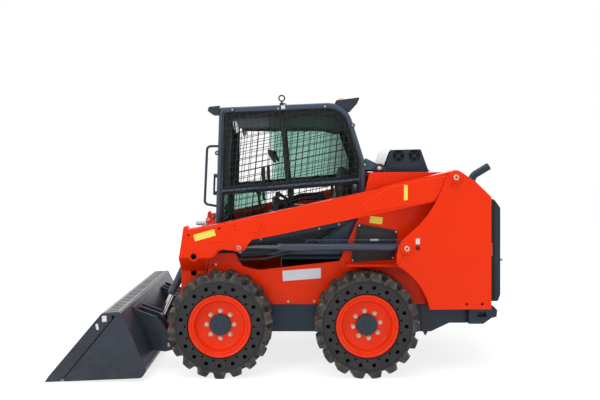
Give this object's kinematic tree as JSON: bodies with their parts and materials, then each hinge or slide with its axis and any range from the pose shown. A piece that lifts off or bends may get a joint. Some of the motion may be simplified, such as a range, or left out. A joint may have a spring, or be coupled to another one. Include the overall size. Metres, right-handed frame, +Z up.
{
  "type": "skid steer loader",
  "caption": "Compact wheeled loader: hollow cab with mesh guards, pivoting lift arms, tilting bucket on a coupler, solid lugged tyres, opening doors and hood.",
  "frame": {"origin": "on the floor, below the centre of the overall box", "axes": "+X forward to the bucket, +Y to the machine's left, +Z up"},
  "size_m": [3.456, 1.81, 2.136],
  "materials": {
    "orange_paint": "gloss orange-red enamel on steel plate",
    "wheel_orange": "gloss orange-red enamel on pressed steel",
    "slate_paint": "satin slate grey paint",
    "hub_slate": "satin slate grey paint",
    "cylinder_paint": "gloss dark slate paint",
    "rod_steel": "hard chromed and ground",
    "bucket_paint": "satin dark slate paint, scuffed",
    "worn_steel": "bare, scraped steel",
    "black_mesh": "black powder coat",
    "engine_black": "rough cast iron",
    "lamp_red": "clear red lens",
    "lamp_black": "dark moulded plastic",
    "beacon_amber": "clear amber lens",
    "latch_steel": "zinc plated",
    "tinted_glass": "green tinted safety glass",
    "seat_vinyl": "black vinyl",
    "console_plastic": "black moulded plastic",
    "tyre_rubber": "black rubber, dusty"
  },
  "bodies": {
    "chassis": {"lower_frame": "slate_paint", "axle_housings": "slate_paint", "side_walls": "orange_paint", "side_grilles": "black_mesh", "towers": "orange_paint", "footwell": "slate_paint", "rear_deck": "orange_paint", "engine_block": "engine_black", "rear_bumper": "slate_paint", "tail_lamps": "lamp_red", "condenser_box": "slate_paint", "condenser_fans": "black_mesh", "hood_pins": "slate_paint", "door_hinges": "slate_paint"},
    "hood": {"hood": "slate_paint", "exhaust_pipe": "slate_paint"},
    "rear_door": {"rear_door": "slate_paint", "door_latch": "latch_steel"},
    "cab": {"cab_sides": "slate_paint", "cab_guards": "black_mesh", "cab_roof": "slate_paint", "lifting_eyes": "slate_paint", "cab_rear": "slate_paint", "cab_floor": "slate_paint", "cab_sill": "slate_paint", "cab_glass": "tinted_glass", "seat": "seat_vinyl", "consoles": "console_plastic", "work_lamps": "lamp_black", "beacon": "beacon_amber", "grab_handle": "slate_paint", "cab_door_hinges": "slate_paint"},
    "cab_door": {"cab_door": "slate_paint", "door_glass": "tinted_glass", "door_handle": "slate_paint"},
    "boom": {"lift_arms": "orange_paint", "arm_legs": "orange_paint", "hose_covers": "slate_paint"},
    "lift_barrels": {"lift_barrels": "cylinder_paint"},
    "lift_rods": {"lift_rods": "rod_steel"},
    "tilt_barrels": {"tilt_barrels": "cylinder_paint"},
    "tilt_rods": {"tilt_rods": "rod_steel"},
    "bucket": {"bucket_coupler": "bucket_paint", "coupler_ears": "bucket_paint", "bucket": "bucket_paint", "cutting_edge": "worn_steel"},
    "wheel_front_left": {"tyre_front_left": "tyre_rubber", "rim_front_left": "wheel_orange", "hub_front_left": "hub_slate"},
    "wheel_front_right": {"tyre_front_right": "tyre_rubber", "rim_front_right": "wheel_orange", "hub_front_right": "hub_slate"},
    "wheel_rear_left": {"tyre_rear_left": "tyre_rubber", "rim_rear_left": "wheel_orange", "hub_rear_left": "hub_slate"},
    "wheel_rear_right": {"tyre_rear_right": "tyre_rubber", "rim_rear_right": "wheel_orange", "hub_rear_right": "hub_slate"}
  },
  "joints": [
    {"name": "front_left_spin", "type": "hinge", "parent": "chassis", "child": "wheel_front_left", "pos_m": [0.4675, 0.715, 0.3875], "axis": [0, 1, 0], "continuous": true},
    {"name": "front_right_spin", "type": "hinge", "parent": "chassis", "child": "wheel_front_right", "pos_m": [0.4675, -0.715, 0.3875], "axis": [0, 1, 0], "continuous": true},
    {"name": "rear_left_spin", "type": "hinge", "parent": "chassis", "child": "wheel_rear_left", "pos_m": [-0.6175, 0.715, 0.3875], "axis": [0, 1, 0], "continuous": true},
    {"name": "rear_right_spin", "type": "hinge", "parent": "chassis", "child": "wheel_rear_right", "pos_m": [-0.6175, -0.715, 0.3875], "axis": [0, 1, 0], "continuous": true},
    {"name": "boom_lift", "type": "hinge", "parent": "chassis", "child": "boom", "pos_m": [-1.287, 0, 1.479], "axis": [0, -1, 0], "range_deg": [0, 68]},
    {"name": "bucket_tilt", "type": "hinge", "parent": "boom", "child": "bucket", "pos_m": [0.887, 0, 0.185], "axis": [0, 1, 0], "range_deg": [-28, 96]},
    {"name": "lift_barrel_swing", "type": "hinge", "parent": "chassis", "child": "lift_barrels", "pos_m": [-0.919, 0, 0.948], "axis": [0, -1, 0], "range_deg": [-0.5, 68.7]},
    {"name": "lift_rod_slide", "type": "slide", "parent": "lift_barrels", "child": "lift_rods", "axis": [1, 0, 0.0032], "range_m": [-0.001, 0.7235]},
    {"name": "tilt_barrel_swing", "type": "hinge", "parent": "boom", "child": "tilt_barrels", "pos_m": [0.69, 0, 0.99], "axis": [0, 1, 0], "range_deg": [-1.2, 3.55]},
    {"name": "tilt_rod_slide", "type": "slide", "parent": "tilt_barrels", "child": "tilt_rods", "axis": [0.4204, 0, -0.9073], "range_m": [-0.0868, 0.2952]},
    {"name": "cab_tilt", "type": "hinge", "parent": "chassis", "child": "cab", "pos_m": [-0.748, 0, 1.542], "axis": [0, 1, 0], "range_deg": [-45, 0]},
    {"name": "cab_door_swing", "type": "hinge", "parent": "cab", "child": "cab_door", "pos_m": [0.565, -0.404, 0.85], "axis": [0.0307, 0, -0.9995], "range_deg": [0, 95]},
    {"name": "rear_door_swing", "type": "hinge", "parent": "chassis", "child": "rear_door", "pos_m": [-1.62, -0.549, 0.9], "axis": [0, 0, 1], "range_deg": [0, 100]},
    {"name": "hood_lift", "type": "hinge", "parent": "chassis", "child": "hood", "pos_m": [-1.187, 0, 1.494], "axis": [0, 1, 0], "range_deg": [0, 60]}
  ],
  "couplings": [
    {"joint": "lift_barrel_swing", "follows": "boom_lift", "ratio": 1.0029},
    {"joint": "lift_rod_slide", "follows": "boom_lift", "m_per_rad": 0.6088},
    {"joint": "tilt_barrel_swing", "follows": "bucket_tilt", "ratio": 0.0339},
    {"joint": "tilt_rod_slide", "follows": "bucket_tilt", "m_per_rad": 0.1756}
  ]
}
